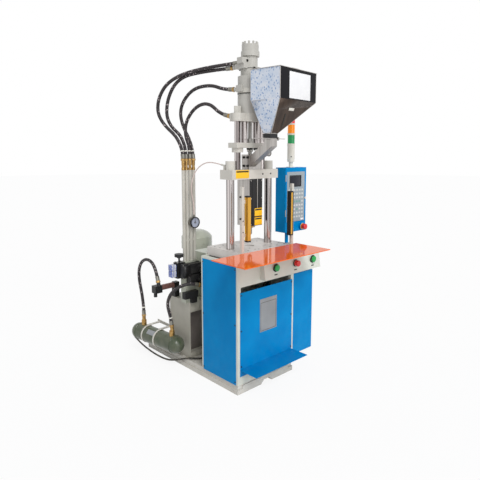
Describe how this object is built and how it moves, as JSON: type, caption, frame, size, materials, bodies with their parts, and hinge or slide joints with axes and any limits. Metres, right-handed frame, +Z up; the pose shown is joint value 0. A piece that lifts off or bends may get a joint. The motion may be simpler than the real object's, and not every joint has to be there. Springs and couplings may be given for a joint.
{
  "type": "vertical injection moulding machine",
  "caption": "Small floor-standing vertical plastic injection moulding machine with hopper, hydraulic clamp, control box and oil power pack.",
  "frame": {"origin": "on the floor under the injection axis, on the base frame's cross member", "axes": "+Z up along the clamp and injection axis, -Y towards the operator at the front, +X to the right seen from the front"},
  "size_m": [0.99, 1.5064, 2.135],
  "materials": {
    "machine_grey": "satin",
    "panel_blue": "satin",
    "table_orange": "gloss",
    "pump_grey": "satin",
    "cooler_green": "satin",
    "black_paint": "satin",
    "steel": "satin",
    "chrome": "polished",
    "stainless": "satin",
    "black_oxide": "satin",
    "brass": "satin",
    "hose_rubber": "matte",
    "cable_black": "matte",
    "tube_clear": "gloss",
    "green_plastic": "gloss",
    "red_plastic": "gloss",
    "black_plastic": "matte",
    "lens_plastic": "gloss",
    "curtain_yellow": "satin",
    "gauge_steel": "satin"
  },
  "bodies": {
    "machine": {"base_frame": "machine_grey", "cabinet_frame": "machine_grey", "left_panel": "panel_blue", "front_panel": "panel_blue", "foot_guard": "panel_blue", "panel_screws": "black_oxide", "bed_plate": "steel", "work_table": "table_orange", "console": "machine_grey", "electrical_box": "panel_blue", "control_post": "panel_blue", "control_box": "panel_blue", "signal_tower": "lens_plastic", "curtain_posts": "machine_grey", "curtain_bars": "curtain_yellow", "clamp_cylinder": "steel", "tank": "machine_grey", "pump": "pump_grey", "motor": "pump_grey", "manifold": "pump_grey", "control_valves": "black_paint", "oil_filters": "black_paint", "pressure_pipes": "machine_grey", "gauge": "gauge_steel", "oil_cooler": "cooler_green", "cooler_bracket": "machine_grey", "hose_fittings": "brass", "hose_1": "hose_rubber", "hose_2": "hose_rubber", "hose_3": "hose_rubber", "hose_4": "hose_rubber", "cooler_hose_a": "hose_rubber", "cooler_hose_b": "hose_rubber", "gauge_tube": "tube_clear", "power_cord": "cable_black"},
    "clamp_head": {"lower_crosshead": "steel", "tie_bars": "chrome", "upper_platen": "machine_grey", "rod_nuts": "machine_grey", "guide_rods": "chrome", "top_plate": "machine_grey", "injection_cylinder": "machine_grey", "hydraulic_motor": "machine_grey", "throat_block": "stainless", "barrel": "steel", "heater_cover": "black_paint", "feed_chute": "stainless", "hopper": "stainless"},
    "injection_unit": {"injection_crosshead": "machine_grey", "piston_rods": "chrome"},
    "screw_body": {"screw": "steel"},
    "gate_body": {"gate_slide": "stainless"},
    "lid_body": {"hopper_lid": "stainless"},
    "button_left_body": {"button_left": "green_plastic"},
    "button_right_body": {"button_right": "green_plastic"},
    "console_stop_body": {"console_stop": "red_plastic"},
    "control_stop_body": {"control_stop": "red_plastic"},
    "knob_body": {"hand_knob": "black_plastic"},
    "needle_body": {"gauge_needle": "black_paint"},
    "ejector_body": {"ejector": "steel"}
  },
  "joints": [
    {"name": "clamp_slide", "type": "slide", "parent": "machine", "child": "clamp_head", "axis": [0, 0, 1], "range_m": [-0.12, 0], "deforming": ["hose_1", "hose_2", "hose_3", "hose_4", "gauge_tube"]},
    {"name": "injection_slide", "type": "slide", "parent": "clamp_head", "child": "injection_unit", "axis": [0, 0, 1], "range_m": [0, 0.1]},
    {"name": "screw_spin", "type": "hinge", "parent": "injection_unit", "child": "screw_body", "pos_m": [0, 0, 1.51], "axis": [0, 0, 1], "continuous": true},
    {"name": "gate_pull", "type": "slide", "parent": "clamp_head", "child": "gate_body", "axis": [1, 0, 0], "range_m": [0, 0.072]},
    {"name": "lid_hinge", "type": "hinge", "parent": "clamp_head", "child": "lid_body", "pos_m": [-0.0856, -0.093, 1.95], "axis": [-0.994, -0.1097, 0], "range_deg": [0, 80]},
    {"name": "button_left_press", "type": "slide", "parent": "machine", "child": "button_left_body", "axis": [0, 1, 0], "range_m": [0, 0.004], "stiffness_N_per_m": 600, "springref_m": -0.002},
    {"name": "button_right_press", "type": "slide", "parent": "machine", "child": "button_right_body", "axis": [0, 1, 0], "range_m": [0, 0.004], "stiffness_N_per_m": 600, "springref_m": -0.002},
    {"name": "console_stop_press", "type": "slide", "parent": "machine", "child": "console_stop_body", "axis": [0, 1, 0], "range_m": [0, 0.005], "stiffness_N_per_m": 800, "springref_m": -0.002},
    {"name": "control_stop_press", "type": "slide", "parent": "machine", "child": "control_stop_body", "axis": [0, 1, 0], "range_m": [0, 0.005], "stiffness_N_per_m": 800, "springref_m": -0.002},
    {"name": "pressure_knob_turn", "type": "hinge", "parent": "machine", "child": "knob_body", "pos_m": [-0.3, 0.363, 0.76], "axis": [0, 0, 1], "range_deg": [-360, 360]},
    {"name": "needle_turn", "type": "hinge", "parent": "machine", "child": "needle_body", "pos_m": [-0.196, 0.3185, 1.005], "axis": [0, -1, 0], "range_deg": [-135, 135], "stiffness_Nm_per_rad": 0.01},
    {"name": "ejector_slide", "type": "slide", "parent": "machine", "child": "ejector_body", "axis": [0, 0, 1], "range_m": [0, 0.03]}
  ]
}
